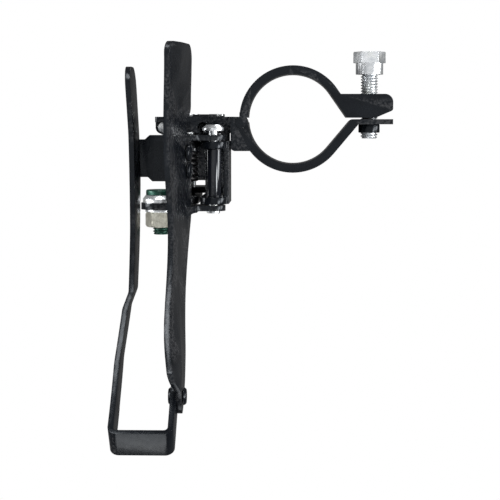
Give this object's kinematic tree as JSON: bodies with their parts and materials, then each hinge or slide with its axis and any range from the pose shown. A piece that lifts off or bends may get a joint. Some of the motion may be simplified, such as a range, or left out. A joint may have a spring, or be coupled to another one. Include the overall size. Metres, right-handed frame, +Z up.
{
  "type": "bicycle front derailleur",
  "caption": "Clamp-on bicycle front derailleur with a hinged band clamp, sprung four-bar linkage, riveted two-plate chain cage and cable pinch bolt.",
  "frame": {"origin": "seat tube axis at the middle of the clamp band's width", "axes": "+Z up along the seat tube, +X outboard to the chainrings, +Y forward"},
  "size_m": [0.0738, 0.104, 0.0878],
  "materials": {
    "black_paint": "gloss black e-coat on pressed steel",
    "cage_paint": "semi-gloss black on formed sheet",
    "zinc": "bright zinc plate",
    "yellow_zinc": "pale yellow passivated zinc",
    "green_dye": "dark green dyed plating",
    "barrel_black": "high gloss black",
    "spring_steel": "oiled spring wire"
  },
  "bodies": {
    "bracket": {"base_bracket": "black_paint", "clamp_weld_nut": "black_paint", "base_pin_inner": "zinc", "base_pin_outer": "zinc"},
    "strap": {"clamp_strap": "black_paint"},
    "clamp_bolt": {"clamp_bolt": "zinc"},
    "low_screw": {"low_limit_screw": "zinc"},
    "high_screw": {"high_limit_screw": "zinc"},
    "inner_arm": {"inner_link": "black_paint", "inner_link_barrel": "barrel_black"},
    "outer_arm": {"outer_link": "black_paint", "anchor_bolt": "green_dye", "pinch_washer": "zinc", "anchor_washer": "zinc"},
    "anchor_nut": {"anchor_nut": "yellow_zinc"},
    "cage": {"inner_cage_plate": "cage_paint", "outer_cage_plate": "cage_paint", "bridge_rivets": "cage_paint", "tail_rivet": "cage_paint", "cage_pin_inner": "zinc", "cage_pin_outer": "zinc", "return_spring": "spring_steel"}
  },
  "joints": [
    {"name": "shift", "type": "hinge", "parent": "bracket", "child": "outer_arm", "pos_m": [0.0299, -0.01, 0.0116], "axis": [0, -1, 0], "range_deg": [0, 42], "stiffness_Nm_per_rad": 0.35, "springref_deg": -68.75},
    {"name": "inner_swing", "type": "hinge", "parent": "bracket", "child": "inner_arm", "pos_m": [0.0223, -0.01, 0.009], "axis": [0, -1, 0], "range_deg": [0, 42.5]},
    {"name": "cage_pivot", "type": "hinge", "parent": "outer_arm", "child": "cage", "pos_m": [0.0299, -0.01, -0.0084], "axis": [0, -1, 0], "range_deg": [-42.5, 0]},
    {"name": "strap_hinge", "type": "hinge", "parent": "bracket", "child": "strap", "pos_m": [0.0146, -0.0009, 0], "axis": [0, 0, -1], "range_deg": [0, 35]},
    {"name": "clamp_bolt_travel", "type": "slide", "parent": "strap", "child": "clamp_bolt", "axis": [0, 1, 0], "range_m": [-0.0102, 0.0075]},
    {"name": "low_screw_turn", "type": "hinge", "parent": "bracket", "child": "low_screw", "pos_m": [0.0258, -0.0024, 0.015], "axis": [0, 0, 1], "continuous": true},
    {"name": "high_screw_turn", "type": "hinge", "parent": "bracket", "child": "high_screw", "pos_m": [0.0379, -0.0024, 0.015], "axis": [0, 0, 1], "continuous": true},
    {"name": "anchor_nut_turn", "type": "hinge", "parent": "outer_arm", "child": "anchor_nut", "pos_m": [0.0385, -0.029, 0.0056], "axis": [0, 1, 0], "continuous": true}
  ],
  "couplings": [
    {"joint": "inner_swing", "follows": "shift", "ratio": 1},
    {"joint": "cage_pivot", "follows": "shift", "ratio": -1}
  ]
}
